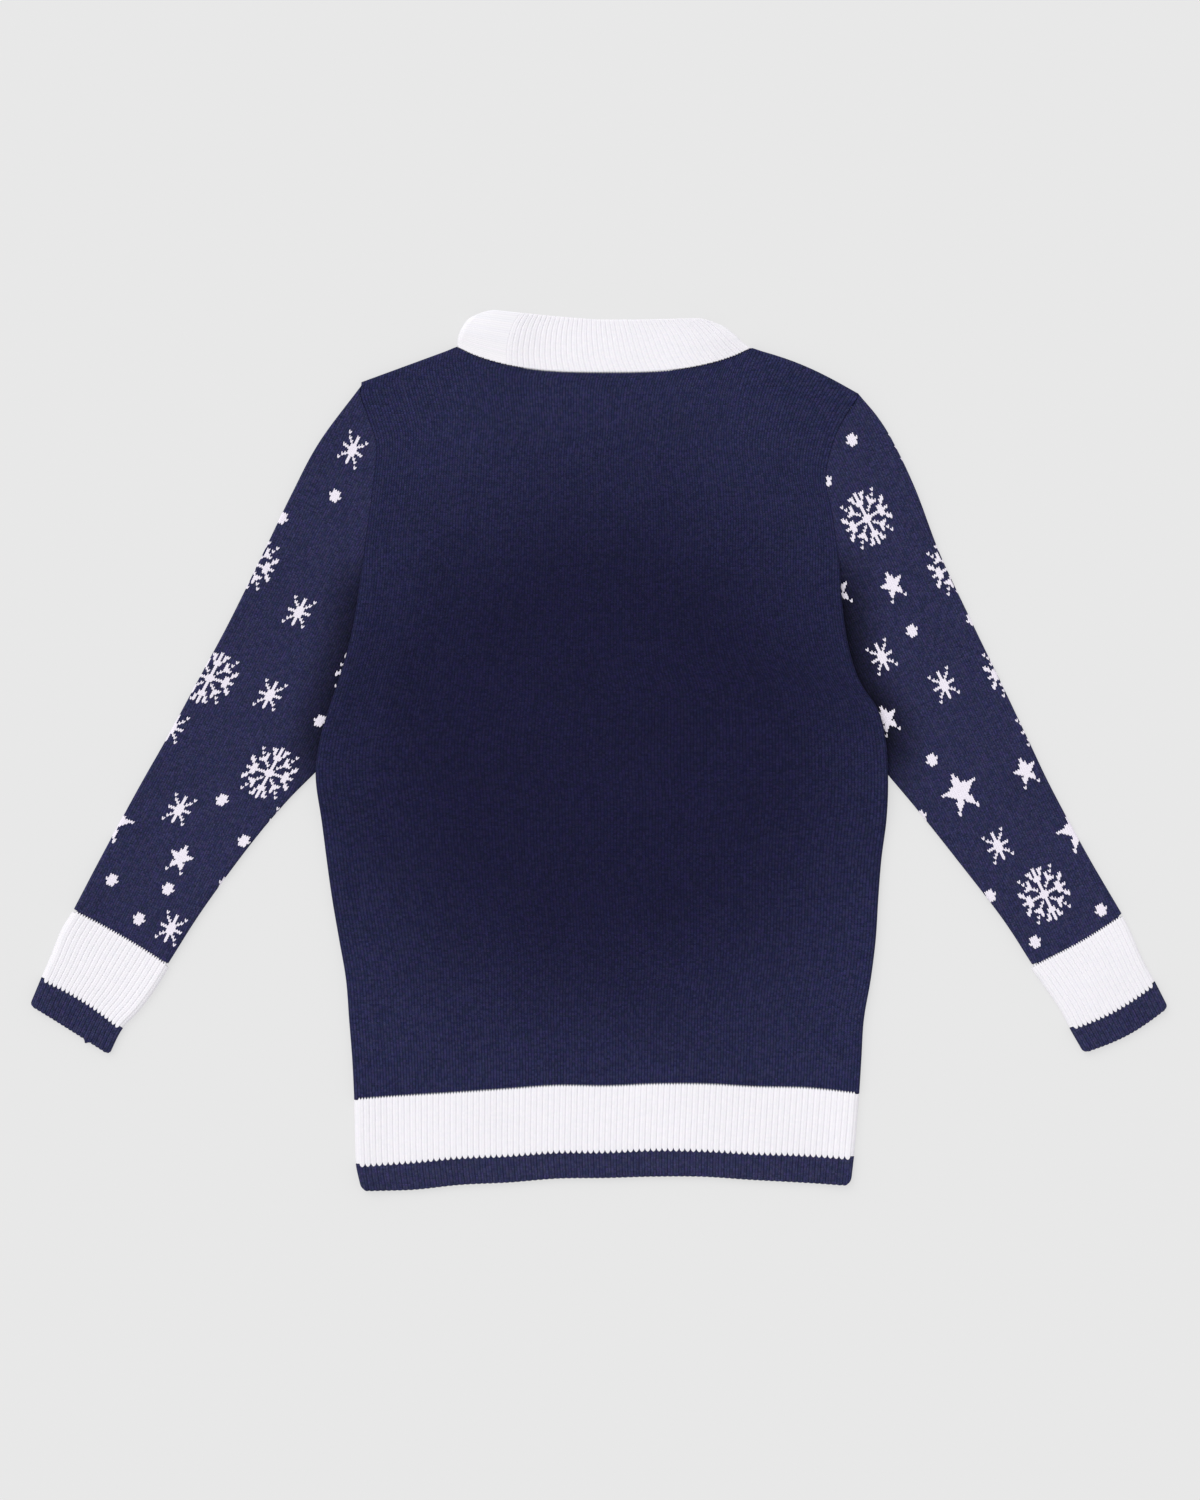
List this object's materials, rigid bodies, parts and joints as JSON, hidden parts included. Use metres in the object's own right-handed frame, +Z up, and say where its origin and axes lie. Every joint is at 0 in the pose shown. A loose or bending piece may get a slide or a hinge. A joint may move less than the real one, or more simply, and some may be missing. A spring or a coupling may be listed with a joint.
{
  "type": "christmas jumper",
  "caption": "Knitted christmas jumper lying flat on its front, back up, with ribbed neckband, hem and cuffs and snowflake sleeves.",
  "frame": {"origin": "bottom centre of the lying jumper's bounding box, on the surface it lies on", "axes": "+X across the body from the wearer's left sleeve to the right sleeve, +Y from the hem to the neckband, +Z up from the surface, out of the jumper's back"},
  "size_m": [0.909, 0.7055, 0.0114],
  "materials": {
    "navy_jersey": "fine-gauge stocking-stitch knit, matt",
    "navy_jacquard": "fine-gauge jacquard knit, navy with white snowflakes, stars and dots, matt",
    "white_rib": "ribbed knit, white, matt",
    "navy_rib": "ribbed knit, navy, matt"
  },
  "bodies": {
    "root": {"back_panel": "navy_jersey", "front_panel": "navy_jersey", "sleeve_left": "navy_jacquard", "sleeve_right": "navy_jacquard", "neckband": "white_rib", "hem_rib_back": "white_rib", "hem_rib_front": "white_rib", "hem_tip_back": "navy_rib", "hem_tip_front": "navy_rib", "cuff_left": "white_rib", "cuff_right": "white_rib", "cuff_tip_left": "navy_rib", "cuff_tip_right": "navy_rib"}
  },
  "joints": []
}
